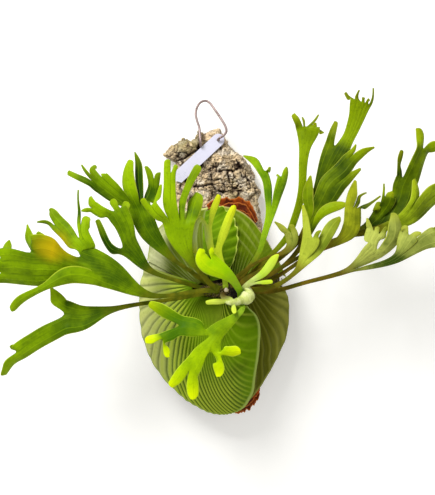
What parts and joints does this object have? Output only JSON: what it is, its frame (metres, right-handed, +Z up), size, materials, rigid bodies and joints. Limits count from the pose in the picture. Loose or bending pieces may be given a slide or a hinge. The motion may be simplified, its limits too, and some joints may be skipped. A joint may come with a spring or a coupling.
{
  "type": "mounted staghorn fern",
  "caption": "Staghorn fern with forked fronds and domed shield fronds, growing on a cork bark slab that hangs on the wall from a bent wire bail.",
  "frame": {"origin": "on the bark slab's flat back, which is the wall plane, level with the middle of the plant", "axes": "+Z up, -Y out from the wall towards the viewer, +X to the viewer's right along the plant's widest spread"},
  "size_m": [0.5976, 0.2078, 0.4327],
  "materials": {
    "bark": "rough cracked cork bark",
    "wire": "plastic coated, satin",
    "label": "plain matt strip",
    "roots": "matted roots and moss",
    "crown": "dark scaly rhizome",
    "bud": "pale felted curl",
    "old_shield": "dry, rust brown",
    "shield_olive": "matt, ribbed",
    "shield_green": "matt, ribbed, pale ribs",
    "shield_pale": "matt, pale grey green felt",
    "frond_green": "satin, fine felt",
    "frond_olive": "satin, fine felt",
    "frond_young": "satin, tender"
  },
  "bodies": {
    "root": {"bark_slab": "bark", "hanger_wire": "wire", "label": "label", "root_ball": "roots", "crown": "crown", "crown_bud": "bud", "shield_old_upper": "old_shield", "shield_old_lower": "old_shield", "shield_lower_right": "shield_olive", "shield_left": "shield_green", "shield_upper_left": "shield_pale", "shield_upper_right": "shield_green", "shield_frill": "shield_green", "left_low": "frond_green", "left_broad": "frond_green", "left_middle": "frond_green", "left_high": "frond_green", "left_front": "frond_green", "right_inner": "frond_olive", "right_tall": "frond_olive", "right_high": "frond_olive", "right_dark": "frond_olive", "right_near": "frond_olive", "right_small": "frond_olive", "right_low": "frond_olive", "right_mid": "frond_olive", "right_far": "frond_olive", "right_back": "frond_olive", "young_lime": "frond_young", "young_fork": "frond_young", "young_left": "frond_young", "young_right": "frond_young", "front_hanging": "frond_young"}
  },
  "joints": []
}
